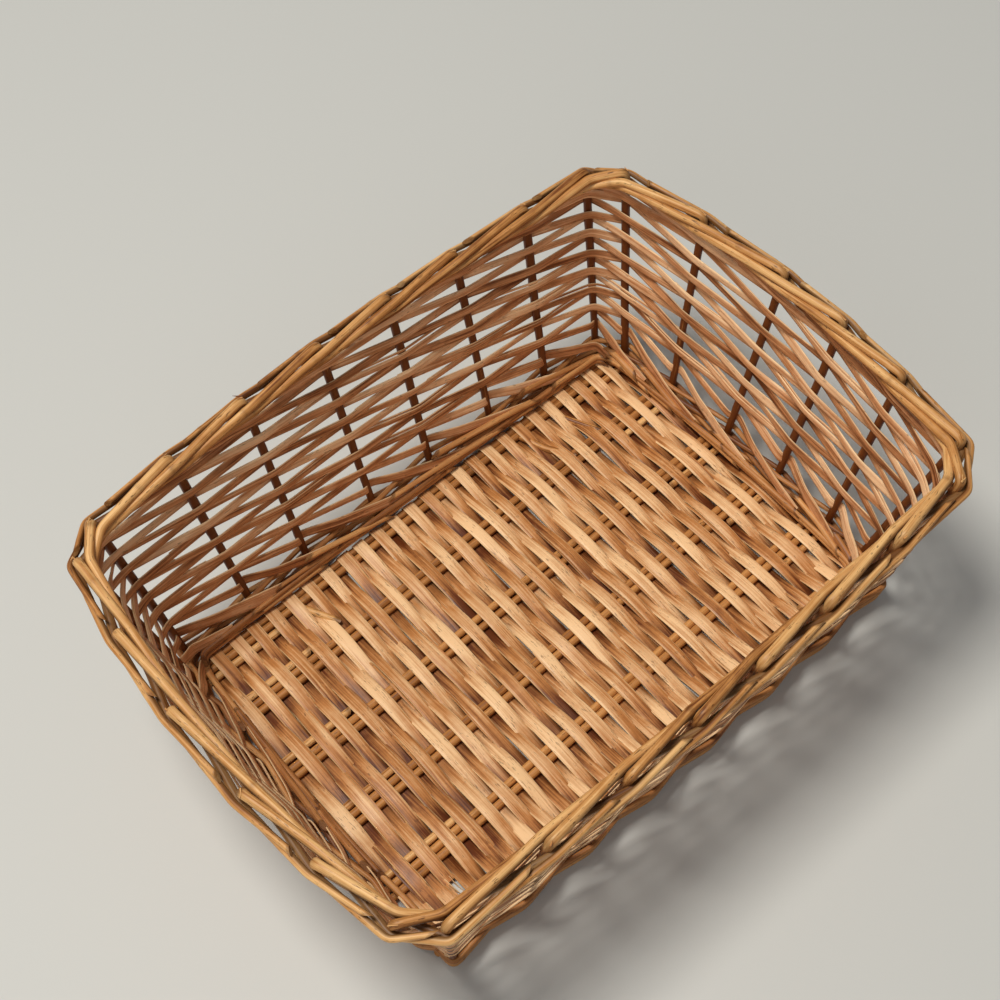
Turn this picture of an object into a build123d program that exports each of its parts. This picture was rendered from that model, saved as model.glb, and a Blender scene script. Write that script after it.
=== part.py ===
"""Rectangular woven willow bread basket, in millimetres, standing on z = 0 and centred on the origin.

X runs along the long side, Y along the short side. Stakes are counted counter-clockwise seen from
above: near long wall (-Y), right short wall (+X), far long wall (+Y), left short wall (-X).
"""

from math import cos, floor, hypot, pi, radians, sin, tan
import os

from build123d import *

os.makedirs("parts", exist_ok=True)

# Willow stock
rod_r = 2.1  # radius of base sticks, stakes and border
wale_r = 1.45  # radius of the thin rods twined round the foot of the wall
base_strip_t = 1.0  # split willow of the base: thickness and width
base_strip_w = 5.2
side_strip_t = 0.9  # split willow of the walls: thickness and width
side_strip_w = 5.2
gap = 0.12  # play left between pieces that lie on one another

# Base: pairs of sticks along X, given by their Y at x = -150 and x = 150, woven across with flat strips
stick_pairs = ((-101.5, -99.5), (-64, -57.5), (-20.5, -17.5), (21.5, 22.5), (64.5, 66.5), (102.5, 103.5))
stick_half_pitch = 2.8
stick_setback = 1.0  # from the end of a stick to the stake line of the short wall
strip_count = 51
strip_middle_x = 10.6  # x of the middle strip, and half the span of the strips
strip_half_span = 150.8
strip_crowding = 7.1  # the strips lie closer together towards +X
tail_len = 47.0  # foot of each short-wall stake, pushed in beside its pair of sticks
tail_offset = 8.2
tails_reach_x = 104.0  # beyond this x a strip also passes over or under the feet
base_mid_z = rod_r + gap - 0.02 + base_strip_t

# Stake positions along each wall, counter-clockwise, at the base and at the border
near_base_x = (-152.0, -108.0, -64.0, -21.0, 22.0, 66.0, 110.0, 152.0)
near_rim_x = (-164.0, -107.0, -60.0, -17.5, 23.0, 68.0, 118.0, 162.0)
far_base_x = (152.0, 112.0, 70.0, 24.0, -18.0, -67.0, -107.0, -152.0)
far_rim_x = (166.0, 124.0, 76.0, 31.0, -15.0, -65.0, -113.0, -163.0)
right_rim_y = (-120.0, -75.0, -31.5, 11.0, 67.0, 119.0)
left_rim_y = (122.0, 77.0, 27.0, -27.0, -75.0, -119.0)

# Wall lines: half distances at the stakes, with the outward bow of each side
near_base_half, far_base_half, base_bow_y = 110.5, 113.0, 1.5
left_base_half, right_base_half, base_bow_x = 157.5, 159.5, 2.5
rim_half_y, near_bow, far_bow = 134.8, 3.8, 8.2
rim_half_x, rim_bow_x = 179.8, 13.0

# Border: five strands round an oval whose centre is at rim_z
rim_z = 133.9
ring_out, ring_up = 6.2, 4.7  # half width and half height of the oval of strand centres
border_run = 4.6  # how many stakes each rod passes in the border
strand_turn = ((0, 90), (1, 160), (2, 222), (2.5, 270), (3, 318), (4, 380), (4.6, 418))
kink_r = 2.6
foot_bend_r = 4.0
border_bend_r = 8.0

# Side weaving
wale_count = 4
wale_z = 8.3
wale_rise = 3.15
first_row_z = 24.0
row_pitch = 6.7  # each weaver climbs one row at every stake
weaver_run = 14.5  # stakes passed by one weaver
corner_play = 1.0  # how much further out the weaving passes round a corner stake
corner_bend_r = 3.0  # bend of the thin rods round a corner stake
wale_bend_r = 12.0

stake_count = 28
wall_first = {"near": 0, "right": 8, "far": 14, "left": 22}
wall_stakes = {"near": 8, "right": 6, "far": 8, "left": 6}
wall_along = {"near": (1, 0), "right": (0, 1), "far": (-1, 0), "left": (0, -1)}


def pair_y(i, x):
    """Y of the middle of stick pair i at x."""
    left, right = stick_pairs[i]
    return left + (right - left) * (x + 150) / 300


def short_base(wall):
    """X and Y of the short-wall stakes at the base, counter-clockwise, each beside its pair of sticks."""
    end = 1 if wall == "right" else -1
    half = right_base_half if wall == "right" else left_base_half
    feet = []
    for i in range(6):
        side = (1, -end, -end, -end, -end, -1)[i]
        y = pair_y(i, 150 * end) + side * tail_offset
        feet.append((end * (half + base_bow_x * (1 - (y / 95) ** 2)), y))
    return feet if wall == "right" else feet[::-1]


def stake_foot(g):
    """Point where the centre line of stake g meets the middle height of the base."""
    g = g % stake_count
    if g < 8 or 14 <= g < 22:
        x = near_base_x[g] if g < 8 else far_base_x[g - 14]
        y = (near_base_half if g < 8 else far_base_half) + base_bow_y * (1 - (x / 152) ** 2)
        return Vector(x, -y if g < 8 else y, base_mid_z)
    wall = "right" if g < 14 else "left"
    x, y = short_base(wall)[g - wall_first[wall]]
    return Vector(x, y, base_mid_z)


def stake_head(g):
    """Point where the centre line of stake g meets the centre of the border."""
    g = g % stake_count
    if g < 8 or 14 <= g < 22:
        x = near_rim_x[g] if g < 8 else far_rim_x[g - 14]
        bow = near_bow if g < 8 else far_bow
        y = rim_half_y + bow * (1 - (x / 166) ** 2)
        return Vector(x, -y if g < 8 else y, rim_z)
    y = right_rim_y[g - 8] if g < 14 else left_rim_y[g - 22]
    x = rim_half_x + rim_bow_x * (1 - (y / 122) ** 2)
    return Vector(x if g < 14 else -x, y, rim_z)


def stake_at(g, z):
    """Centre of stake g at height z."""
    foot, head = stake_foot(g), stake_head(g)
    return foot + (head - foot) * ((z - foot.Z) / (head.Z - foot.Z))


def wall_point(t, z):
    """Point of the wall's middle surface at stake number t (whole or not) and height z."""
    g = floor(t)
    return stake_at(g, z) * (1 - t + g) + stake_at(g + 1, z) * (t - g)


def wall_axes(t, z=rim_z):
    """Along, outward and up directions of the wall at stake number t, the outward one mitred at a stake."""
    before = (wall_point(t, z) - wall_point(t - 0.01, z)).normalized()
    after = (wall_point(t + 0.01, z) - wall_point(t, z)).normalized()
    along = (before + after).normalized()
    up = (wall_point(t, rim_z) - wall_point(t, base_mid_z)).normalized()
    out = along.cross(up).normalized()
    mitre = (before + after).length / 2
    return along, out / mitre, out.cross(along)


def strand_point(g, t):
    """Centre of the border strand that starts at stake g, t stakes further on."""
    knots = [k for k in strand_turn if k[0] <= t][-1], [k for k in strand_turn if k[0] >= t][0]
    (t0, a0), (t1, a1) = knots
    turn = radians(a0 if t1 == t0 else a0 + (a1 - a0) * (t - t0) / (t1 - t0))
    along, out, up = wall_axes(g + t)
    return wall_point(g + t, rim_z) + out * (ring_out * cos(turn)) + up * (ring_up * sin(turn))


def soft_radii(points, widest):
    """Bend radius at each inner point of a line of points, as wide as the room beside it allows."""
    radii = []
    for a, b, c in zip(points, points[1:], points[2:]):
        turn = radians((b - a).get_angle(c - b))
        room = 0.44 * min((b - a).length, (c - b).length)
        radii.append(max(0.3, min(widest, room / max(tan(turn / 2), 0.001))))
    return radii


def rod(points, radii, r):
    """Round rod of radius r along a line of points with rounded bends."""
    with BuildPart() as piece:
        with BuildLine() as path:
            FilletPolyline(*points, radius=radii)
        with BuildSketch(Plane(path.wire() @ 0, z_dir=path.wire() % 0)):
            Circle(r)
        sweep(path=path.wire())
    return piece


def stake_name(g):
    wall = [w for w in wall_first if wall_first[w] <= g][-1]
    side = "long" if wall in ("near", "far") else "short"
    return f"stake_{wall}_{side}_{g - wall_first[wall] + 1}"


def make_stake(g):
    """One willow rod: foot beside the base sticks or standing at the edge, upright, kink and border."""
    foot, head = stake_foot(g), stake_head(g)
    up = wall_axes(g)[2]
    spacing = (stake_head(g + 1) - head).length
    first = 0.5 if spacing > 30 else 1.0
    steps = [k / 2 for k in range(1, 10)] + [border_run]
    strand = [strand_point(g, t) for t in steps if t >= first]
    points = [foot, head + up * ring_up] + strand
    radii = [kink_r] + soft_radii(points[1:], border_bend_r)
    if 8 <= g < 14 or g >= 22:
        inward = -1 if g < 14 else 1
        points = [foot + Vector(inward * tail_len, 0, 0)] + points
        radii = [foot_bend_r] + radii
    else:
        points[0] = stake_at(g, 1.2)
    return rod(points, radii, rod_r)


def band(points, t):
    """Closed outline of a band of thickness t along a flat line of points."""
    over, under = [], []
    for k, (x, y) in enumerate(points):
        x0, y0 = points[max(k - 1, 0)]
        x1, y1 = points[min(k + 1, len(points) - 1)]
        size = hypot(x1 - x0, y1 - y0)
        nx, ny = -(y1 - y0) / size * t / 2, (x1 - x0) / size * t / 2
        over.append((x + nx, y + ny))
        under.append((x - nx, y - ny))
    return over + under[::-1] + over[:1]


def base_strip_line(k, x):
    """Centre line in Y and Z of base strip k, from the edge it passes under to the edge it wraps."""
    lift = rod_r + gap - 0.02 + base_strip_t / 2
    end = 1 if x > 0 else -1
    points = []
    for i in range(6):
        y = pair_y(i, x)
        z = base_mid_z + (lift if (i + k) % 2 == 0 else -lift)
        low, high = y - 6.2, y + 6.2
        if abs(x) > tails_reach_x:
            side = (1, -end, -end, -end, -end, -1)[i]
            low, high = (low - 5, high) if side < 0 else (low, high + 5)
        points += [(low, z), (high, z)]
    near_edge, far_edge = pair_y(0, x) - stick_half_pitch, pair_y(5, x) + stick_half_pitch
    points[0], points[-1] = (near_edge, points[0][1]), (far_edge, points[-1][1])
    curl = [radians(90 - 22.5 * n) for n in range(1, 9)]
    wrap = [(lift * cos(a), base_mid_z + lift * sin(a)) for a in curl] + [(-4, base_mid_z - lift)]
    if k % 2 == 1:
        return points + [(far_edge + y, z) for y, z in wrap]
    return [(near_edge - y, z) for y, z in wrap[::-1]] + points


def make_sticks(i):
    """A pair of base sticks lying side by side."""
    bow = base_bow_x * (1 - (pair_y(i, 0) / 95) ** 2) - stick_setback
    start = Vector(-left_base_half - bow, pair_y(i, -left_base_half - bow), base_mid_z)
    end = Vector(right_base_half + bow, pair_y(i, right_base_half + bow), base_mid_z)
    with BuildPart() as pair:
        for offset in (-stick_half_pitch, stick_half_pitch):
            with BuildSketch(Plane(start + Vector(0, offset, 0), z_dir=end - start)):
                Circle(rod_r)
            extrude(amount=(end - start).length)
    return pair


def make_base_strip(k):
    """Flat strip woven across the base sticks."""
    u = 2 * k / (strip_count - 1) - 1
    x = strip_middle_x + strip_half_span * u - strip_crowding * u**2
    plane = Plane((x - base_strip_w / 2, 0, 0), x_dir=(0, 1, 0), z_dir=(1, 0, 0))
    with BuildPart() as strip:
        with BuildSketch(plane):
            with BuildLine():
                Polyline(*band(base_strip_line(k, x), base_strip_t))
            make_face()
        extrude(amount=base_strip_w)
    return strip


def wave_points(wall, start, end, parity, z_of, amplitude, steps):
    """Points weaving in and out of the stakes of a wall, with the given steps per stake."""
    first = wall_first[wall]
    last = first + wall_stakes[wall] - 1
    points = []
    for n in range(round(steps * start), round(steps * end) + 1):
        t = min(max(n / steps, first - 0.46), last + 0.46)
        side = -cos(pi * (n / steps + parity))
        play = corner_play if n in (steps * first, steps * last) else 0
        out = wall_axes(t, z_of(t))[1]
        points.append(wall_point(t, z_of(t)) + out * (side * (amplitude + play)))
    return points


def make_wale_rod(wall, row):
    """Thin rod twined in and out of the stakes along the foot of one wall."""
    start = wall_first[wall] - 0.25
    end = wall_first[wall] + wall_stakes[wall] - 0.75
    reach = rod_r + wale_r + gap + 0.1
    points = wave_points(wall, start, end, row, lambda t: wale_z + row * wale_rise, reach, 4)
    radii = [corner_bend_r] + soft_radii(points, wale_bend_r)[1:-1] + [corner_bend_r]
    return rod(points, radii, wale_r)


def weaver_starts(wall):
    """Stakes whose weavers pass along this wall for at least one stake."""
    first, last = wall_first[wall], wall_first[wall] + wall_stakes[wall] - 1
    return range(first - floor(weaver_run) + 1, last)


def make_weaver(wall, j):
    """The length of weaver j that lies along one wall, climbing one row at every stake."""
    first = wall_first[wall]
    last = first + wall_stakes[wall] - 1
    middle = (first + last) / 2
    reach = rod_r + side_strip_t / 2 + gap

    def height(t):
        return first_row_z + row_pitch * (t - j)

    start, end = max(j, first - 0.5), min(j + weaver_run, last + 0.5)
    points = wave_points(wall, start, end, j, height, reach, 4)
    lean = (wall_point(middle, rim_z) - wall_point(middle, base_mid_z)).normalized()
    rise = row_pitch * (last - first) / (stake_head(last) - stake_head(first)).length
    along = (Vector(*wall_along[wall], 0) + lean * rise).normalized()
    out = along.cross(lean).normalized()
    up = out.cross(along)
    corner = wall_point(middle, height(middle)) - up * (side_strip_w / 2)
    flat = [((p - corner).dot(along), -(p - corner).dot(out)) for p in points]
    with BuildPart() as weaver:
        with BuildSketch(Plane(corner, x_dir=along, z_dir=up)):
            with BuildLine():
                Polyline(*band(flat, side_strip_t))
            make_face()
        extrude(amount=side_strip_w)
    return weaver


def write(name, pieces):
    """Writes one subcomponent of one or more separate solids."""
    whole = Compound([solid for piece in pieces for solid in piece.part.solids()])
    whole.label = name
    export_step(whole, f"parts/{name}.step")


for i in range(6):
    sticks = make_sticks(i)
    sticks.part.label = f"base_sticks_{i + 1}"
    export_step(sticks.part, f"parts/base_sticks_{i + 1}.step")

cuts = {"left": (0, 17), "middle": (17, 34), "right": (34, strip_count)}
for zone, (first, last) in cuts.items():
    write(f"base_strips_{zone}", [make_base_strip(k) for k in range(first, last)])

for wall in wall_first:
    side = "long" if wall in ("near", "far") else "short"
    write(f"wale_{wall}_{side}", [make_wale_rod(wall, row) for row in range(wale_count)])
    write(f"weavers_{wall}_{side}", [make_weaver(wall, j) for j in weaver_starts(wall)])

for g in range(stake_count):
    stake = make_stake(g)
    stake.part.label = stake_name(g)
    export_step(stake.part, f"parts/{stake_name(g)}.step")
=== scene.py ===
"""Looks of the woven willow bread basket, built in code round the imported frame.

The lattice below is the basket's own: stakes counted counter-clockwise seen from above, near long
wall (-Y) first, then right short wall (+X), far long wall (+Y) and left short wall (-X). Lengths
are in millimetres until a mesh is made.
"""

from math import pi

import bpy
import numpy as np
from mathutils import Matrix


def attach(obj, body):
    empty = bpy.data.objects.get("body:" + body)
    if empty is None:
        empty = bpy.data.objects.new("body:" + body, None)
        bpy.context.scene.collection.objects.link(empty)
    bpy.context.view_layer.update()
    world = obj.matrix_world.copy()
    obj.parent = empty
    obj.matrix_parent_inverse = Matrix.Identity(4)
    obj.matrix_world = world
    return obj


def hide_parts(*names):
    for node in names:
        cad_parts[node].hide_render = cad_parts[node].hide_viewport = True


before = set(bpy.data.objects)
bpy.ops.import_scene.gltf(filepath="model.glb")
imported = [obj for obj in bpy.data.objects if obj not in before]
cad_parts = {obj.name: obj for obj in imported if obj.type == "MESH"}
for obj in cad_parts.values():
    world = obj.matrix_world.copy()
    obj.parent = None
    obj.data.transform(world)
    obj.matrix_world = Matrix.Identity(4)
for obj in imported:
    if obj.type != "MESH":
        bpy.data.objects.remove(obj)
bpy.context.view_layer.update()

rng = np.random.default_rng(28)

# ---------------------------------------------------------------- sizes and places
# Radii, thicknesses and widths of the willow, the base, the outline of each wall, the oval of the
# border (half width, half height, turn of a strand in degrees at each stake passed), the weaving of
# the walls by stakes passed, and the wale. STAKE_RADII are at the foot, the bend, THIN_END samples
# before the tip and the tip. FOOT_RODS are heights and places across the wall.
ROD_R = 2.1
WALE_R = 1.45
BASE_T = 1.0
SIDE_T, SIDE_W = 0.95, 5.1
STICK_PAIRS = ((-101.5, -99.5), (-64, -57.5), (-20.5, -17.5),
               (21.5, 22.5), (64.5, 66.5), (102.5, 103.5))
STICK_HALF_PITCH, STICK_SETBACK = 2.8, 1.0
STICK_CLOSENESS = 0.9
STRIP_COUNT, STRIP_MIDDLE_X, STRIP_HALF_SPAN, STRIP_CROWDING = 51, 10.6, 150.8, 7.1
STRIP_LIFT = ROD_R + 0.2 + BASE_T / 2
STRIP_FLAT, STRIP_FLAT_AT_FEET = 5.4, 5.0
TAIL_OFFSET, TAILS_REACH_X = 8.2, 104.0
RIGHT_TAIL_ENDS, LEFT_TAIL_ENDS = (114, 127), (-107, -100)
BROKEN_STRIP, BROKEN_END_Y = 3, -80.0
BASE_MID_Z = ROD_R + 0.1 + BASE_T
NEAR_BASE_X = (-152.0, -108.0, -64.0, -21.0, 22.0, 66.0, 110.0, 152.0)
NEAR_RIM_X = (-164.0, -107.0, -60.0, -17.5, 23.0, 68.0, 118.0, 162.0)
FAR_BASE_X = (152.0, 112.0, 70.0, 24.0, -18.0, -67.0, -107.0, -152.0)
FAR_RIM_X = (166.0, 124.0, 76.0, 31.0, -15.0, -65.0, -113.0, -163.0)
RIGHT_RIM_Y = (-120.0, -75.0, -31.5, 11.0, 67.0, 119.0)
LEFT_RIM_Y = (122.0, 77.0, 27.0, -27.0, -75.0, -119.0)
NEAR_BASE_HALF, FAR_BASE_HALF, BASE_BOW_Y = 110.5, 113.0, 1.5
LEFT_BASE_HALF, RIGHT_BASE_HALF, BASE_BOW_X = 157.5, 159.5, 2.5
RIM_HALF_Y, NEAR_BOW, FAR_BOW = 134.8, 3.8, 8.2
RIM_HALF_X, RIM_BOW_X = 179.8, 13.0
RIM_Z, RING_OUT, RING_UP = 133.9, 5.9, 4.5
END_TUCK = 0.78
STRAND_TURN = ((0, 90), (1, 155), (2, 212), (2.5, 262), (3, 314), (4, 366), (4.75, 406))
STAKE_RADII, THIN_END = (2.15, 2.45, 2.1, 1.5), 60
FIRST_ROW_Z, ROW_PITCH = 24.0, 6.7
SWING = 2.95
WEAVER_START, WEAVER_END, TOP_OF_WEAVE_Z = -0.55, 16.1, 125.9
START_T, START_Z = (WEAVER_START, 0, 1, 2), (9.5, 16.5, 29.0, 37.4)
START_BY_T, START_BY = (WEAVER_START, 0, 0.5, 1.0), (-6.6, -5.9, -3.2, SWING)
WALE_ROWS, WALE_Z, WALE_PITCH = range(-2, 4), 8.3, 3.15
WALE_SWING = ROD_R + WALE_R + 0.3
FOOT_RODS = ((7.6, -7.7), (10.4, -7.9))
SAMPLES = 32  # for each stake passed
SHORTEST = 5  # samples; shorter lengths are left out
LOWEST = 0.0001  # metres above the floor
STAKES = 28
WALLS = {"near_long": (0, 8), "right_short": (8, 6), "far_long": (14, 8), "left_short": (22, 6)}
# The feet of three far stakes show between the base strips, each a line of X and Y.
STUBS = {15: ((103, 100), (108, 88), (115, 73)), 16: ((79, 99), (84, 83), (92, 70)),
         20: ((-89, 100), (-86.5, 96.7), (-77.8, 78.3))}


def pair_y(i, x):
    """Y of the middle of stick pair i at x."""
    left, right = STICK_PAIRS[i]
    return left + (right - left) * (x + 150) / 300


def tail_side(i, end):
    """The side of stick pair i that the stakes' feet lie on, at the end of the basket towards end."""
    return (1, -end, -end, -end, -end, -1)[i]


def feet_and_heads():
    """Centres of the 28 stakes at the base and at the border."""
    walls = {}
    for sign, base_x, rim_x, half, bow in ((-1, NEAR_BASE_X, NEAR_RIM_X, NEAR_BASE_HALF, NEAR_BOW),
                                           (1, FAR_BASE_X, FAR_RIM_X, FAR_BASE_HALF, FAR_BOW)):
        x, xr = np.array(base_x), np.array(rim_x)
        low = np.c_[x, sign * (half + BASE_BOW_Y * (1 - (x / 152) ** 2)), np.full(8, BASE_MID_Z)]
        high = np.c_[xr, sign * (RIM_HALF_Y + bow * (1 - (xr / 166) ** 2)), np.full(8, RIM_Z)]
        walls["long", sign] = low, high
    for end, rim_y, half in ((1, RIGHT_RIM_Y, RIGHT_BASE_HALF), (-1, LEFT_RIM_Y, LEFT_BASE_HALF)):
        y = np.array([pair_y(i, 150 * end) + tail_side(i, end) * TAIL_OFFSET for i in range(6)])[::end]
        yr = np.array(rim_y)
        low = np.c_[end * (half + BASE_BOW_X * (1 - (y / 95) ** 2)), y, np.full(6, BASE_MID_Z)]
        high = np.c_[end * (RIM_HALF_X + RIM_BOW_X * (1 - (yr / 122) ** 2)), yr, np.full(6, RIM_Z)]
        walls["short", end] = low, high
    order = (("long", -1), ("short", 1), ("long", 1), ("short", -1))
    return tuple(np.vstack([walls[key][k] for key in order]) for k in (0, 1))


FEET, HEADS = feet_and_heads()


def unit(v):
    """Vectors scaled to length 1."""
    return v / np.linalg.norm(v, axis=-1, keepdims=True)


def stake_at(g, z):
    """Centres of stakes g at heights z."""
    g = np.mod(g, STAKES)
    f, h = FEET[g], HEADS[g]
    return f + (h - f) * ((z - f[:, 2]) / (h[:, 2] - f[:, 2]))[:, None]


def wall_point(t, z):
    """Points of the walls' middle surface at stake numbers t and heights z."""
    t, z = np.broadcast_arrays(np.atleast_1d(np.asarray(t, float)), np.asarray(z, float))
    g = np.floor(t).astype(int)
    u = (t - g)[:, None]
    return stake_at(g, z) * (1 - u) + stake_at(g + 1, z) * u


def wall_axes(t, z=RIM_Z):
    """Along, outward and up directions of the walls, the outward one mitred at the stakes."""
    t = np.atleast_1d(np.asarray(t, float))
    here = wall_point(t, z)
    both = unit(here - wall_point(t - 0.01, z)) + unit(wall_point(t + 0.01, z) - here)
    along = unit(both)
    up = unit(wall_point(t, RIM_Z) - wall_point(t, BASE_MID_Z))
    out = unit(np.cross(along, up))
    return along, out * 2 / np.linalg.norm(both, axis=1)[:, None], np.cross(out, along)


def outward(t, z):
    """Outward directions that change evenly from each stake to the next."""
    g = np.floor(t)
    u = (t - g)[:, None]
    return wall_axes(g, z)[1] * (1 - u) + wall_axes(g + 1, z)[1] * u


# ---------------------------------------------------------------- curves
def run_lengths(points):
    """Distance along a line at each of its points."""
    return np.r_[0, np.cumsum(np.linalg.norm(np.diff(points[:, :3], axis=0), axis=1))]


def resample(points, step):
    """Points at an even spacing along a line of points, further columns carried with them."""
    points = np.asarray(points, float)
    s = run_lengths(points)
    n = max(2, int(round(s[-1] / step)) + 1)
    at = np.linspace(0, s[-1], n)
    return np.stack([np.interp(at, s, points[:, k]) for k in range(points.shape[1])], 1)


def smooth(values, sigma):
    """Gaussian smoothing along a line that keeps both ends where they are."""
    values = np.asarray(values, float)
    reach = min(int(3 * sigma) + 1, len(values) - 1)
    head = 2 * values[:1] - values[1 : reach + 1][::-1]
    tail = 2 * values[-1:] - values[-reach - 1 : -1][::-1]
    padded = np.concatenate([head, values, tail])
    kernel = np.exp(-0.5 * (np.arange(-reach, reach + 1) / sigma) ** 2)
    kernel /= kernel.sum()
    flat = padded.reshape(len(padded), -1)
    out = np.stack([np.convolve(flat[:, k], kernel, "valid") for k in range(flat.shape[1])], 1)
    return out.reshape((len(out),) + values.shape[1:])[: len(values)]


def wander(n, step, wavelength, amplitude):
    """Slow random drift along a strand of n points."""
    knots = int(n * step / wavelength) + 4
    values = rng.normal(0, 1, knots)
    at = np.linspace(0, knots - 1.001, n) * min(1.0, n * step / wavelength / knots) + rng.uniform(0, 1)
    at = np.minimum(at, knots - 1.001)
    base = np.floor(at).astype(int)
    u = at - base
    u = u * u * (3 - 2 * u)
    return amplitude * (values[base] * (1 - u) + values[np.minimum(base + 1, knots - 1)] * u)


def tangents(points):
    """Direction of a line at each of its points."""
    return unit(np.gradient(points, axis=0))


def carried_frame(points, at=0, axis=(0.3, 0.2, 1.0)):
    """Two axes square to a line, carried along it without twist from the given point and axis."""
    t = tangents(points)
    a = np.empty_like(points)
    start = np.asarray(axis, float) - t[at] * np.dot(axis, t[at])
    a[at] = start / np.linalg.norm(start)
    for order in (range(at + 1, len(t)), range(at - 1, -1, -1)):
        last = a[at]
        for k in order:
            v = last - t[k] * np.dot(last, t[k])
            last = a[k] = v / np.sqrt(v @ v)
    return a, np.cross(t, a)


# ---------------------------------------------------------------- strands
class Weave:
    """Collects swept strands and makes them one mesh."""

    def __init__(self):
        self.co, self.quads, self.caps, self.data = [], [], [], []
        self.count = 0

    def strand(self, points, a, b, prof, tone, marks_and_shade=None, skew=(0.0, 0.0), seed=None, run=0.0):
        """Sweeps outlines prof (stations, around, 2) along points with side axes a and b."""
        n, k = prof.shape[:2]
        t = tangents(points)
        co = points[:, None] + a[:, None] * prof[..., :1] + b[:, None] * prof[..., 1:]
        for end in (0, -1):
            reach = np.linspace(1, 0, 4)[:, None, None] if n > 8 else np.ones((1, 1, 1))
            m = len(reach)
            rows = slice(0, m) if end == 0 else slice(n - m, n)
            reach = reach if end == 0 else reach[::-1]
            shift = prof[rows, :, :1] * skew[end] + prof[rows, :, 1:] * skew[end] * 0.6
            co[rows] += t[rows, None] * shift * reach
        seed = rng.uniform(0, 1) if seed is None else seed
        # Per point: place in the grain in metres, shifted by the seed, then tone, edge and the dark marks;
        # tone and marks also carry painted shade.
        data = np.empty((n, k, 6))
        data[..., :2] = prof + np.array([seed * 400.0, seed * 170.0])
        data[..., 2] = run_lengths(points)[:, None] + run + seed * 3000.0
        data[..., :3] *= 0.001
        data[..., 3] = tone
        data[..., 4] = np.abs(prof[..., 0]) / np.maximum(np.abs(prof[..., 0]).max(1, keepdims=True), 1e-6)
        data[..., 5] = 0.0 if marks_and_shade is None else marks_and_shade.reshape(n, -1)
        ring = np.arange(n)[:, None] * k + self.count
        around = np.arange(k)
        nxt = (around + 1) % k
        q = np.stack([ring[:-1] + around, ring[:-1] + nxt, ring[1:] + nxt, ring[1:] + around], -1)
        self.quads.append(q.reshape(-1, 4))
        self.co += [co.reshape(-1, 3), co[0], co[-1]]
        self.data += [data.reshape(-1, 6), data[0], data[-1]]
        self.caps.append(self.count + n * k + around[::-1])
        self.caps.append(self.count + (n + 1) * k + around)
        self.count += (n + 2) * k

    def piece(self, name, nodes, slot, material):
        """Makes the mesh, in metres and kept above the floor, in the place of the CAD nodes."""
        co = np.concatenate(self.co) * 0.001
        co[:, 2] = np.maximum(co[:, 2], LOWEST)
        quads = np.concatenate(self.quads)
        mesh = bpy.data.meshes.new(name)
        mesh.vertices.add(len(co))
        mesh.vertices.foreach_set("co", co.astype(np.float32).ravel())
        sizes = np.r_[np.full(len(quads), 4), [len(c) for c in self.caps]]
        loops = np.concatenate([quads.ravel()] + self.caps)
        mesh.loops.add(len(loops))
        mesh.loops.foreach_set("vertex_index", loops.astype(np.int32))
        mesh.polygons.add(len(sizes))
        mesh.polygons.foreach_set("loop_start", np.r_[0, np.cumsum(sizes)[:-1]].astype(np.int32))
        mesh.polygons.foreach_set("use_smooth", np.arange(len(sizes)) < len(quads))
        mesh.update(calc_edges=True)
        data = np.concatenate(self.data).astype(np.float32)
        grain = mesh.attributes.new("grain", "FLOAT_VECTOR", "POINT")
        grain.data.foreach_set("vector", data[:, :3].ravel())
        for column, label in ((3, "tone"), (4, "edge"), (5, "marks_and_shade")):
            layer = mesh.attributes.new(label, "FLOAT", "POINT")
            layer.data.foreach_set("value", np.ascontiguousarray(data[:, column]))
        mesh.materials.append(material)
        mesh.validate()
        piece = bpy.data.objects.new(name, mesh)
        bpy.context.scene.collection.objects.link(piece)
        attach(piece, "root")
        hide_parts(*nodes)


def round_outline(radii, k=14, press=None):
    """Slightly uneven round sections of the given radii, pressed flat where press is above 0."""
    turn = np.linspace(0, 2 * pi, k, endpoint=False)
    phase = rng.uniform(0, 2 * pi, 2)
    lumps = 1 + 0.025 * np.cos(2 * turn + phase[0]) + 0.015 * np.cos(3 * turn + phase[1])
    prof = radii[:, None, None] * np.stack([np.cos(turn) * lumps, np.sin(turn) * lumps], -1)[None]
    if press is not None:
        prof = prof * np.stack([1 + 0.10 * press, 1 - 0.20 * press], -1)[:, None]
    return prof


def strip_outline(width, thick):
    """Sections of a split strip: rounded edges, a slightly crowned skin side and a flat inner side."""
    x = np.array([-1, -0.93, -0.5, 0, 0.5, 0.93, 1, 0.93, 0.5, 0, -0.5, -0.93])
    y = np.array([0, 0.38, 0.60, 0.68, 0.60, 0.38, 0, -0.40, -0.5, -0.5, -0.5, -0.40])
    prof = np.empty((len(width), len(x), 2))
    prof[..., 0] = width[:, None] / 2 * x
    prof[..., 1] = thick[:, None] * y
    return prof


def knots_along(n, step, spacing, start=20.0):
    """Leaf knots along a rod, as a bump height from 0 to 1 at every point."""
    bump = np.zeros(n)
    at = start + rng.uniform(0, spacing)
    s = np.arange(n) * step
    while at < n * step - 6:
        bump = np.maximum(bump, np.exp(-0.5 * ((s - at) / 1.6) ** 2) * rng.uniform(0.4, 1.0))
        at += rng.uniform(0.5, 1.4) * spacing
    return bump


def splinter(weave, start, direction, length, width, tone):
    """A thin torn fibre with a pointed end."""
    n = 7
    u = np.linspace(0, 1, n)[:, None]
    bend = rng.normal(0, 0.12, 3) * length
    line = start + direction * length * u + bend * u**2
    a, b = carried_frame(line, 0, rng.normal(0, 1, 3))
    size = width * (1 - 0.85 * u[:, 0] ** 1.5)
    prof = strip_outline(size, np.full(n, 0.28))
    weave.strand(line, a, b, prof, tone)


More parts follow.
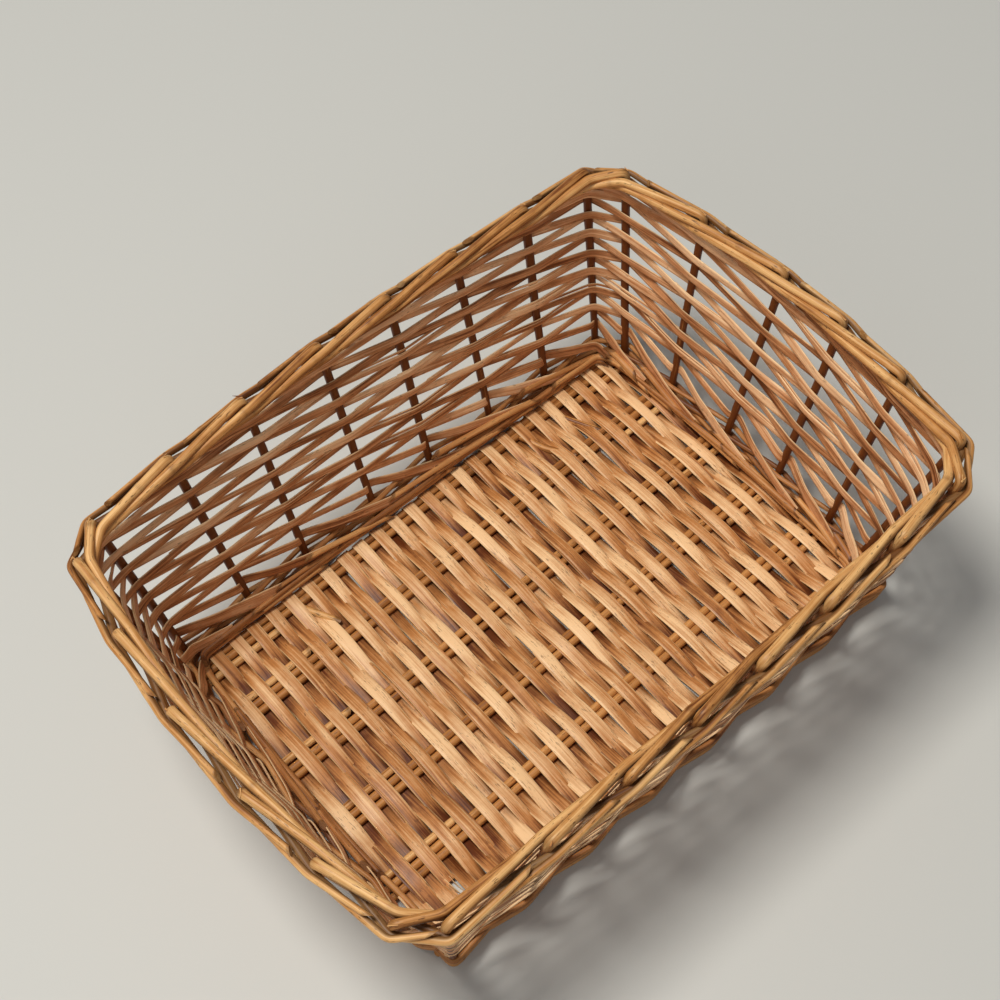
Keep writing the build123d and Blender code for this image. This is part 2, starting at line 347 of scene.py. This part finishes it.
# ---------------------------------------------------------------- materials
def linear(r, g, b):
    """Scene-linear colour from an everyday 0-255 one."""
    return tuple(((c / 255 + 0.055) / 1.055) ** 2.4 for c in (r, g, b))


def new_material(name, dark, base, pale, roughness, streak=1.0, edge_pale=0.0, dashes=0.6):
    """Willow: fibre streaks, colour drift, dark dashes, knots, paler edges, a thin varnish and painted
    shade.

    dark, base and pale are everyday 0-255 colours.
    """
    dark, base, pale = linear(*dark), linear(*base), linear(*pale)
    material = bpy.data.materials.new(name)
    material.use_nodes = True
    tree = material.node_tree
    nodes, link = tree.nodes, tree.links.new
    nodes.clear()

    def node(kind, **values):
        n = nodes.new(kind)
        for key, value in values.items():
            if key in n.inputs:
                n.inputs[key].default_value = value
            else:
                setattr(n, key, value)
        return n

    def math(op, a, b, clamp=False):
        n = node("ShaderNodeMath", operation=op, use_clamp=clamp)
        for k, v in enumerate((a, b)):
            if isinstance(v, (int, float)):
                n.inputs[k].default_value = v
            else:
                link(v, n.inputs[k])
        return n.outputs[0]

    def ramp(value, stops):
        n = node("ShaderNodeValToRGB")
        e = n.color_ramp.elements
        while len(e) < len(stops):
            e.new(0.5)
        for k, (at, c) in enumerate(stops):
            e[k].position = at
            e[k].color = (*c, 1)
        link(value, n.inputs[0])
        return n.outputs[0]

    def mix(factor, a, b):
        n = node("ShaderNodeMix", data_type="RGBA")
        link(factor, n.inputs[0])
        for k, v in ((6, a), (7, b)):
            if isinstance(v, tuple):
                n.inputs[k].default_value = (*v, 1)
            else:
                link(v, n.inputs[k])
        return n.outputs[2]

    grain = node("ShaderNodeAttribute", attribute_name="grain").outputs["Vector"]
    tone = node("ShaderNodeAttribute", attribute_name="tone").outputs["Fac"]
    edge = node("ShaderNodeAttribute", attribute_name="edge").outputs["Fac"]
    marks_and_shade = node("ShaderNodeAttribute", attribute_name="marks_and_shade").outputs["Fac"]

    def grain_noise(scale, detail, rough=0.55):
        mapping = node("ShaderNodeMapping", vector_type="POINT")
        mapping.inputs["Scale"].default_value = scale
        link(grain, mapping.inputs["Vector"])
        n = node("ShaderNodeTexNoise", Scale=1.0, Detail=detail, Roughness=rough)
        link(mapping.outputs[0], n.inputs["Vector"])
        return n.outputs["Fac"]

    fibre = grain_noise((1500.0, 1500.0, 28.0), 3.0)
    band = grain_noise((420.0, 420.0, 14.0), 3.0)
    drift = grain_noise((60.0, 60.0, 26.0), 2.0)
    blotch = grain_noise((150.0, 150.0, 110.0), 4.0, 0.6)
    dash = grain_noise((1700.0, 1700.0, 230.0), 1.0)

    shade = math("MULTIPLY", math("SUBTRACT", fibre, 0.5), 0.75 * streak)
    shade = math("ADD", shade, math("MULTIPLY", math("SUBTRACT", band, 0.5), 1.0 * streak))
    shade = math("ADD", shade, math("MULTIPLY", math("SUBTRACT", drift, 0.5), 0.7))
    shade = math("ADD", shade, math("MULTIPLY", math("SUBTRACT", blotch, 0.5), 0.5))
    # The tone attribute: each strand's own tone, plus painted shade on stakes inside the wall and painted
    # light and shade on the base strips.
    shade = math("ADD", shade, math("MULTIPLY", math("SUBTRACT", tone, 0.5), 0.7))
    shade = math("ADD", shade, 0.5, clamp=True)
    colour = ramp(shade, ((0.0, dark), (0.45, base), (1.0, pale)))
    if edge_pale:
        rim = ramp(edge, ((0.80, (0, 0, 0)), (0.99, (1, 1, 1))))
        colour = mix(math("MULTIPLY", rim, edge_pale), colour, tuple(min(1.0, c * 1.2) for c in pale))
    spots = ramp(dash, ((0.60, (0, 0, 0)), (0.66, (1, 1, 1))))
    patches = ramp(blotch, ((0.50, (0, 0, 0)), (0.58, (1, 1, 1))))
    spots = math("MULTIPLY", math("MULTIPLY", spots, patches), dashes)
    colour = mix(spots, colour, tuple(c * 0.35 for c in dark))
    # Knots and cut ends darken towards this colour, and so does painted shade in crevices, on the border's
    # inner side and on stakes inside the wall.
    colour = mix(marks_and_shade, colour, tuple(c * 0.40 for c in dark))

    shader = node("ShaderNodeBsdfPrincipled")
    shader.inputs["Coat Weight"].default_value = 0.05
    shader.inputs["Coat Roughness"].default_value = 0.35
    shader.inputs["Specular IOR Level"].default_value = 0.3
    link(colour, shader.inputs["Base Color"])
    gloss = math("ADD", math("MULTIPLY", band, 0.25), roughness - 0.12, clamp=True)
    link(gloss, shader.inputs["Roughness"])
    height = math("ADD", math("MULTIPLY", fibre, 0.6), math("MULTIPLY", band, 0.8))
    bump = node("ShaderNodeBump", Strength=0.6, Distance=0.00025)
    link(height, bump.inputs["Height"])
    link(bump.outputs[0], shader.inputs["Normal"])
    out = node("ShaderNodeOutputMaterial")
    link(shader.outputs[0], out.inputs["Surface"])
    return material


ROD_SKIN = new_material("willow_rod", (112, 57, 18), (198, 135, 72), (242, 190, 124), 0.46, 1.5, 0.0, 0.7)
BASE_SKIN = new_material("willow_base_strip", (104, 50, 18), (196, 130, 72), (252, 206, 152),
                         0.42, 1.25, 0.5, 0.5)
SIDE_SKIN = new_material("willow_side_strip", (116, 63, 30), (205, 140, 90), (255, 209, 160),
                         0.46, 1.5, 0.5, 0.5)
STICK_SKIN = new_material("willow_base_stick", (110, 58, 22), (180, 118, 60), (220, 156, 88), 0.46)
WALE_SKIN = new_material("willow_fine_rod", (100, 52, 24), (178, 116, 62), (224, 164, 100), 0.48)


# ---------------------------------------------------------------- pieces
def border_strand(g):
    """Border strand of stake g, straight from stake to stake, with the way to the border's core."""
    t, angle = np.array(STRAND_TURN[1:], float).T
    angle = np.radians(angle)[:, None]
    along, out, up = wall_axes(g + t)
    tuck = np.where(t > 4, END_TUCK, 1.0)[:, None]
    ring = out * (RING_OUT * np.cos(angle)) + up * (RING_UP * np.sin(angle))
    core = wall_point(g + t, RIM_Z)
    return np.c_[core + ring * tuck, -ring]


def make_stub(weave, places, tone, step):
    """The short end of a stake that lies between the base strips."""
    path = smooth(resample([(*p, BASE_MID_Z) for p in places], step), 2.0)
    m = len(path)
    a, b = carried_frame(path)
    end = np.zeros(m)
    end[-2:] = 0.7
    weave.strand(path, a, b, round_outline(np.full(m, 2.2)), tone, end, (0.0, 1.6))


def tear(weave, kink, along, out, up):
    """One torn fibre on the bend of a stake."""
    start = kink + out * rng.uniform(-1.5, 1.5)
    start = start + up * rng.uniform(0.8, 1.7) - along * rng.uniform(0.0, 1.2)
    direction = along * rng.uniform(0.4, 1.0) + up * rng.uniform(0.0, 0.25)
    direction = unit(direction + out * rng.uniform(-0.4, 0.4))
    splinter(weave, start, direction, rng.uniform(2.5, 5), rng.uniform(0.7, 1.2), rng.uniform(0.3, 0.9))


def make_stake(g, name, stub=None):
    """A stake with its foot, upright, bend and border strand."""
    step = 1.2
    along, out, up = (v[0] for v in wall_axes(g))
    kink = HEADS[g] + up * RING_UP
    if 8 <= g < 14:
        lower = [(rng.uniform(*RIGHT_TAIL_ENDS), FEET[g][1], BASE_MID_Z), FEET[g]]
    elif g >= 22:
        lower = [(rng.uniform(*LEFT_TAIL_ENDS), FEET[g][1], BASE_MID_Z), FEET[g]]
    else:
        lower = [stake_at(np.array([g]), np.array([1.4]))[0]]
    upright = np.vstack(lower + [kink])
    line = resample(np.vstack([np.c_[upright, np.zeros_like(upright)], border_strand(g)]), step)
    line, inward = smooth(line[:, :3], 1.3), line[:, 3:]
    n = len(line)
    at_kink = int(np.argmin(np.linalg.norm(line - kink, axis=1)))
    away = np.abs(np.arange(n) - at_kink) * step
    drift = np.stack([wander(n, step, 34.0, 0.16) for _ in range(3)], 1)
    line = smooth(line + drift * np.clip(away / 14, 0.1, 1)[:, None], 1.2)
    knots = knots_along(n, step, 70.0)
    bent = np.exp(-0.5 * (away / 2.4) ** 2)
    size = rng.uniform(0.96, 1.06)
    radii = size * np.interp(np.arange(n), (0, at_kink, n - THIN_END, n), STAKE_RADII)
    radii += wander(n, step, 22.0, 0.05) + 0.2 * knots
    a, b = carried_frame(line, at_kink, out)
    # Dark at the knots and at the cut ends; the darkening round the bend is painted shade of the hollow
    # beside it.
    marks_and_shade = np.clip(0.5 * knots**3 + 0.45 * bent * rng.uniform(0.3, 1.0), 0, 1)
    marks_and_shade[-2:] = 0.45
    marks_and_shade[:2] = 0.5
    tone = rng.uniform(0.25, 1.0)
    # Painted shade: the stake is darker, in its tone and a little in its marks, where it stands in the
    # wall among the weavers.
    above_foot, below_kink = np.clip((line[:, 2] - 6) / 8, 0, 1), at_kink - 6 - np.arange(n)
    in_wall = np.clip(below_kink / 10, 0, 1) * above_foot
    marks_and_shade = np.maximum(marks_and_shade, 0.12 * in_wall)
    # Painted shade: the side of the border strand that faces the middle of the border is darkened.
    prof = round_outline(radii, 14, bent)
    facing = a[:, None] * prof[..., :1] + b[:, None] * prof[..., 1:]
    facing = np.sum(facing * inward[:, None], 2) / (radii * 5.0)[:, None]
    marks_and_shade = np.maximum(marks_and_shade[:, None], 0.75 * np.clip(facing * 1.4 + 0.15, 0, 1) * (facing != 0))
    weave = Weave()
    weave.strand(line, a, b, prof, (tone - (0.6 + tone) * in_wall)[:, None], marks_and_shade,
                 (0.5, rng.choice((-1, 1)) * rng.uniform(0.8, 2.0)))
    for _ in range(rng.integers(0, 3)):
        tear(weave, kink, along, out, up)
    if stub:
        make_stub(weave, stub, tone, step)
    weave.piece(name.replace("stake", "rod"), [name], "stake_willow", ROD_SKIN)


def stakes_passed(first, last):
    """Even samples of the way along the walls, counted in stakes."""
    return np.arange(round(first * SAMPLES), round(last * SAMPLES) + 1) / SAMPLES


def zigzag(t):
    """-1 at even whole numbers and 1 at odd ones, straight between."""
    return 1 - 2 * np.abs((t + 1) % 2 - 1)


def strip_frame(line, up, roll):
    """Side axes of a strip whose width lies along up, turned by the angles roll."""
    direction = tangents(line)
    width_axis = unit(up - direction * np.sum(up * direction, 1)[:, None])
    face = np.cross(direction, width_axis)
    a = width_axis * np.cos(roll)[:, None] + face * np.sin(roll)[:, None]
    return a, np.cross(direction, a)


def make_side_weave():
    """All 28 weavers, cut at the corners into one piece for each wall."""
    weaves = {wall: Weave() for wall in WALLS}
    step = 1.4
    for j in range(STAKES):
        t = stakes_passed(WEAVER_START, WEAVER_END)
        lift = np.interp(t, np.arange(0, 17), rng.normal(0, 0.45, 17))
        z = np.where(t < 2, np.interp(t, START_T, START_Z), FIRST_ROW_Z + ROW_PITCH * t)
        z = np.minimum(z + lift, TOP_OF_WEAVE_Z)
        by = np.where(t < 1, np.interp(t, START_BY_T, START_BY), SWING * zigzag(t))
        points = wall_point(t + j, z) + outward(t + j, z) * by[:, None]
        line = resample(np.c_[points, t + j], step)
        line[:, :3] = smooth(line[:, :3], 2.0)
        t, line = line[:, 3], line[:, :3]
        n = len(t)
        up = unit(wall_point(t, 90.0) - wall_point(t, 40.0))
        twist = rng.normal(0.06, 0.13, 18)[np.floor(t - j).astype(int) + 1] * np.sin(pi * t) ** 2
        a, b = strip_frame(line, up, wander(n, step, 60.0, 0.10) + twist)
        width = SIDE_W * rng.uniform(0.86, 1.1) + wander(n, step, 30.0, 0.28)
        width += np.interp(t - j, (0.3, 1.3), (rng.uniform(1.2, 3.4), 0))
        thick = np.full(n, SIDE_T * rng.uniform(0.85, 1.1))
        split = rng.uniform(0, 1) < 0.5
        inside = np.zeros(n, bool)
        sliver = sliver_prof = None
        if split:
            middle, reach = rng.uniform(0.2, 0.8) * n, rng.uniform(60, 150)
            apart = np.exp(-0.5 * ((np.arange(n) - middle) / reach * 2.0) ** 2)
            inside = apart > 0.08
            sliver = line + a * ((width * 0.5 - 0.3) + apart * rng.uniform(0.6, 1.6))[:, None] + b * 0.25
            sliver_prof = strip_outline(np.minimum(apart * 6, 1) * rng.uniform(1.0, 1.7) + 0.1, thick)
            width = width - 0.9 * apart
        prof = strip_outline(width, thick)
        tone, seed = rng.uniform(0.1, 1.0), rng.uniform(0, 1)
        for wall, (first, number) in WALLS.items():
            for lap in (0, STAKES):
                low = np.searchsorted(t, first - 0.5 + lap)
                high = min(np.searchsorted(t, first + number - 0.5 + lap) + 1, n)
                at = np.flatnonzero(inside[low:high]) + low
                cuts = [(line, prof, low, high)] if high - low > SHORTEST else []
                cuts += [(sliver, sliver_prof, at[0], at[-1] + 1)] if len(at) > SHORTEST else []
                for middle_line, outline, start, stop in cuts:
                    part = slice(start, stop)
                    weaves[wall].strand(middle_line[part], a[part], b[part], outline[part], tone,
                                        seed=seed, run=start * step)
    for wall, weave in weaves.items():
        weave.piece(f"side_weave_{wall}", [f"weavers_{wall}"], "split_willow_sides", SIDE_SKIN)


def base_strip_line(k, x):
    """Centre line in Y and Z of base strip k, and its height, -1 under the sticks to 1 over them."""
    end = 1 if x > 0 else -1
    lift = STRIP_LIFT
    points = []
    for i in range(6):
        y = pair_y(i, x)
        z = BASE_MID_Z + (lift if (i + k) % 2 == 0 else -lift)
        low, high = y - STRIP_FLAT, y + STRIP_FLAT
        if abs(x) > TAILS_REACH_X and tail_side(i, end) < 0:
            low -= STRIP_FLAT_AT_FEET
        elif abs(x) > TAILS_REACH_X:
            high += STRIP_FLAT_AT_FEET
        points += [(low, z), (high, z)]
    near_edge, far_edge = pair_y(0, x) - STICK_HALF_PITCH, pair_y(5, x) + STICK_HALF_PITCH
    points[0], points[-1] = (near_edge, points[0][1]), (far_edge, points[-1][1])
    line = smooth(resample(points, 1.0), 3.6)
    turn = np.radians(np.linspace(78, -90, 15))
    wrap = np.c_[lift * np.cos(turn), BASE_MID_Z + lift * np.sin(turn)]
    wrap = np.vstack([wrap, (-4, BASE_MID_Z - lift)])
    if k % 2 == 1:
        line = np.vstack([line, wrap + (far_edge, 0)])
    else:
        line = np.vstack([(wrap * (-1, 1) + (near_edge, 0))[::-1], line])
    return np.c_[line, np.clip((line[:, 1] - BASE_MID_Z) / lift, -1, 1)]


def make_base_strips():
    """The flat strips woven across the sticks, in three pieces from left to right."""
    cuts = {"left": (0, 17), "middle": (17, 34), "right": (34, STRIP_COUNT)}
    step = 1.3
    for zone, (first, last) in cuts.items():
        weave = Weave()
        for k in range(first, last):
            u = 2 * k / (STRIP_COUNT - 1) - 1
            x = STRIP_MIDDLE_X + STRIP_HALF_SPAN * u - STRIP_CROWDING * u**2
            line = base_strip_line(k, x)
            line = resample(np.c_[np.full(len(line), x), line], step)
            if k == BROKEN_STRIP:
                line = line[line[:, 1] > BROKEN_END_Y]
            n = len(line)
            line[:, 0] += wander(n, step, 40.0, 0.4)
            height = line[:, 3]
            points = smooth(line[:, :3], 0.8)
            roll = wander(n, step, 26.0, 0.08) + rng.normal(0.06, 0.04)
            a, b = strip_frame(points, np.array((1.0, 0, 0)), roll)
            spacing = 2 * (STRIP_HALF_SPAN - 2 * STRIP_CROWDING * u) / (STRIP_COUNT - 1)
            spread = np.maximum(0.7 * height, -1.9 * height)  # wider over the sticks, widest under them
            width = 1.14 * spacing + spread * rng.uniform(0.8, 1.1)
            width += wander(n, step, 20.0, 0.28)
            thick = np.full(n, BASE_T * rng.uniform(0.8, 1.0))
            tone, seed = rng.uniform(0.1, 1.0), rng.uniform(0, 1)
            if rng.uniform(0, 1) < 0.4:
                middle, reach = rng.uniform(0.2, 0.8) * n, rng.uniform(14, 40)
                apart = np.exp(-0.5 * ((np.arange(n) - middle) / reach) ** 2)
                side = rng.choice((-1, 1))
                centre = points + a * (side * (width * 0.5 - 0.2 + apart * rng.uniform(0.3, 0.9)))[:, None]
                part = slice(np.flatnonzero(apart > 0.1)[0], np.flatnonzero(apart > 0.1)[-1] + 1)
                prof = strip_outline(np.minimum(apart * 5, 1) * rng.uniform(0.9, 1.5) + 0.1, thick * 0.8)
                weave.strand(centre[part], a[part], b[part], prof[part][:, ::-1], tone * 0.8, seed=seed)
                width = width - 0.8 * apart
            prof = strip_outline(width, thick)
            # Painted shade: where the strip passes under the sticks, its edges darken towards the
            # neighbouring strips.
            under = np.clip(-1.3 * height, 0, 1)[:, None]
            crevice_shade = under * np.minimum(0.2 * np.abs(prof[:, ::-1, 0]), 0.8)
            shade = (tone + 0.36 * height - 0.06)[:, None]  # painted light and shade: paler over the sticks, darker under them
            weave.strand(points, a, b, prof[:, ::-1], shade, crevice_shade, seed=seed)
            if k == BROKEN_STRIP:
                for across in (-1.7, 1.6):
                    away = unit(points[0] - points[3] + rng.normal(0, 0.3, 3))
                    start = points[2] + a[0] * across
                    splinter(weave, start, away, rng.uniform(5, 11), rng.uniform(3.2, 3.8), 1.3)
        weave.piece(f"base_weave_{zone}", [f"base_strips_{zone}"], "split_willow_base", BASE_SKIN)


def make_sticks():
    """The six pairs of round rods that the base strips cross."""
    step = 2.0
    for i in range(6):
        weave = Weave()
        bow = BASE_BOW_X * (1 - (pair_y(i, 0) / 95) ** 2) - STICK_SETBACK
        for offset in (-STICK_HALF_PITCH, STICK_HALF_PITCH):
            reach = (-LEFT_BASE_HALF - bow, RIGHT_BASE_HALF + bow)
            ends = [(x, pair_y(i, x) + offset * STICK_CLOSENESS, BASE_MID_Z) for x in reach]
            line = resample(ends, step)
            n = len(line)
            line[:, 1] += wander(n, step, 60.0, 0.2)
            a, b = carried_frame(line)
            knots = knots_along(n, step, 90.0)
            radii = rng.uniform(2.15, 2.35) + wander(n, step, 25.0, 0.05) + 0.15 * knots
            weave.strand(line, a, b, round_outline(radii), rng.uniform(0.2, 1.0), 0.6 * knots**3,
                         (0.5, -0.5))
        weave.piece(f"base_rods_{i + 1}", [f"base_sticks_{i + 1}"], "base_stick_willow", STICK_SKIN)


def loose_rod(weave, t, z, by, radius, step):
    """A thin rod with cut ends lying along the wall, by outward of its middle."""
    line = wall_point(t, z) + outward(t, z) * (np.zeros(len(t)) + by)[:, None]
    line = smooth(resample(line, step), 1.6)
    n = len(line)
    a, b = carried_frame(line)
    marks_and_shade = np.zeros(n)
    marks_and_shade[:2] = marks_and_shade[-2:] = 0.6
    radii = radius * np.linspace(1.05, rng.uniform(0.75, 1.0), n)
    weave.strand(line, a, b, round_outline(radii, 12), rng.uniform(0.2, 1.0), marks_and_shade, (1.5, -1.5))


def make_wale():
    """Six twined rods, rods along the foot and loose slanting ends, for each wall."""
    step = 1.6
    for wall, (first, number) in WALLS.items():
        weave = Weave()
        for row in WALE_ROWS:
            t = stakes_passed(first - 0.5, first + number - 0.5)
            z = WALE_Z + row * WALE_PITCH + wander(len(t), 1.4, 60.0, 0.5 if row > 0 else 0.15)
            line = wall_point(t, z) + outward(t, z) * (WALE_SWING * zigzag(t + row))[:, None]
            line = smooth(resample(line, step), 2.0)
            n = len(line)
            a, b = carried_frame(line)
            radii = WALE_R * rng.uniform(0.95, 1.15) + wander(n, step, 20.0, 0.05)
            weave.strand(line, a, b, round_outline(radii, 12), rng.uniform(0, 1.0))
        for height, by in FOOT_RODS:
            start = first - 0.35
            while start < first + number - 1:
                stop = min(start + rng.uniform(1.2, 2.6), first + number - 0.6)
                t = np.linspace(start, stop, 60)
                z = height + np.linspace(0, rng.uniform(0, 2.0), 60)
                loose_rod(weave, t, z, by + wander(60, 1.4, 40.0, 0.25), rng.uniform(1.5, 1.9), step)
                start = stop - rng.uniform(0.05, 0.3)
        for _ in range(number):
            start = rng.uniform(first - 0.4, first + number - 1.4)
            stop = min(start + rng.uniform(0.9, 1.9), first + number - 0.55)
            u = np.linspace(0, 1, 60)
            t = start + u * (stop - start)
            z = rng.uniform(7.0, 12.0) + u * rng.uniform(2.0, 13.0)
            by = -rng.uniform(6.6, 8.6) + rng.uniform(0.5, 3.5) * u
            loose_rod(weave, t, z, by, rng.uniform(1.4, 2.1), step)
        weave.piece(f"foot_wale_{wall}", [f"wale_{wall}"], "fine_rod_willow", WALE_SKIN)


for wall, (first, number) in WALLS.items():
    for k in range(number):
        make_stake(first + k, f"stake_{wall}_{k + 1}", STUBS.get(first + k))
make_side_weave()
make_base_strips()
make_sticks()
make_wale()

# ---------------------------------------------------------------- stage
FLOOR_HALF, FLOOR_COLOUR, FLOOR_ROUGHNESS = 6, (206, 204, 197), 0.6
CAMERA_LENS, CAMERA_SENSOR = 62.4, 36.0
CAMERA_PLACE = (-0.2708, -0.3458, 0.8579)
CAMERA_RIGHT, CAMERA_FORWARD = (0.7515, -0.6578, -0.0492), (0.3113, 0.4194, -0.8527)
AIM = (0, 0, 0.05)
WORLD_COLOUR, WORLD_STRENGTH = (0.85, 0.92, 1.0), 0.19

floor_mesh = bpy.data.meshes.new("floor")
corners = ((-1, -1), (1, -1), (1, 1), (-1, 1))
floor_mesh.from_pydata([(x * FLOOR_HALF, y * FLOOR_HALF, 0) for x, y in corners], [], [(0, 1, 2, 3)])
floor = bpy.data.objects.new("floor", floor_mesh)
bpy.context.scene.collection.objects.link(floor)
floor_material = bpy.data.materials.new("floor")
floor_material.use_nodes = True
floor_shader = floor_material.node_tree.nodes["Principled BSDF"]
floor_shader.inputs["Base Color"].default_value = (*linear(*FLOOR_COLOUR), 1)
floor_shader.inputs["Roughness"].default_value = FLOOR_ROUGHNESS
floor_mesh.materials.append(floor_material)

camera_data = bpy.data.cameras.new("camera")
camera_data.sensor_width = CAMERA_SENSOR
camera_data.lens = CAMERA_LENS
camera = bpy.data.objects.new("camera", camera_data)
right, forward = np.array(CAMERA_RIGHT), np.array(CAMERA_FORWARD)
right = unit(right - forward * np.dot(right, forward) / np.dot(forward, forward))
forward = unit(forward)
upward = np.cross(right, forward)
matrix = np.eye(4)
matrix[:3, 0], matrix[:3, 1], matrix[:3, 2] = right, upward, -forward
matrix[:3, 3] = CAMERA_PLACE
camera.matrix_world = Matrix(matrix.tolist())
bpy.context.scene.collection.objects.link(camera)
bpy.context.scene.camera = camera


def area_light(name, place, target, size, power, colour):
    """A round lamp at place, aimed at target."""
    data = bpy.data.lights.new(name, "AREA")
    data.shape = "DISK"
    data.size = size
    data.energy = power
    data.color = colour
    lamp = bpy.data.objects.new(name, data)
    back = unit(np.array(place, float) - np.array(target, float))
    side = unit(np.cross((0, 0, 1.0), back))
    aim = Matrix(np.stack([side, np.cross(back, side), back], 1).tolist())
    lamp.matrix_world = Matrix.Translation(place) @ aim.to_4x4()
    bpy.context.scene.collection.objects.link(lamp)


area_light("key", (-0.52, 0.53, 2.75), AIM, size=1.0, power=61.5, colour=(1.0, 0.985, 0.945))
area_light("side", (-1.4, -0.8, 1.2), AIM, size=1.5, power=5.5, colour=(1.0, 0.99, 0.97))
world = bpy.data.worlds.new("studio")
bpy.context.scene.world = world
world.use_nodes = True
world.node_tree.nodes["Background"].inputs["Color"].default_value = (*WORLD_COLOUR, 1)
world.node_tree.nodes["Background"].inputs["Strength"].default_value = WORLD_STRENGTH
bpy.context.scene.view_settings.view_transform = "Standard"
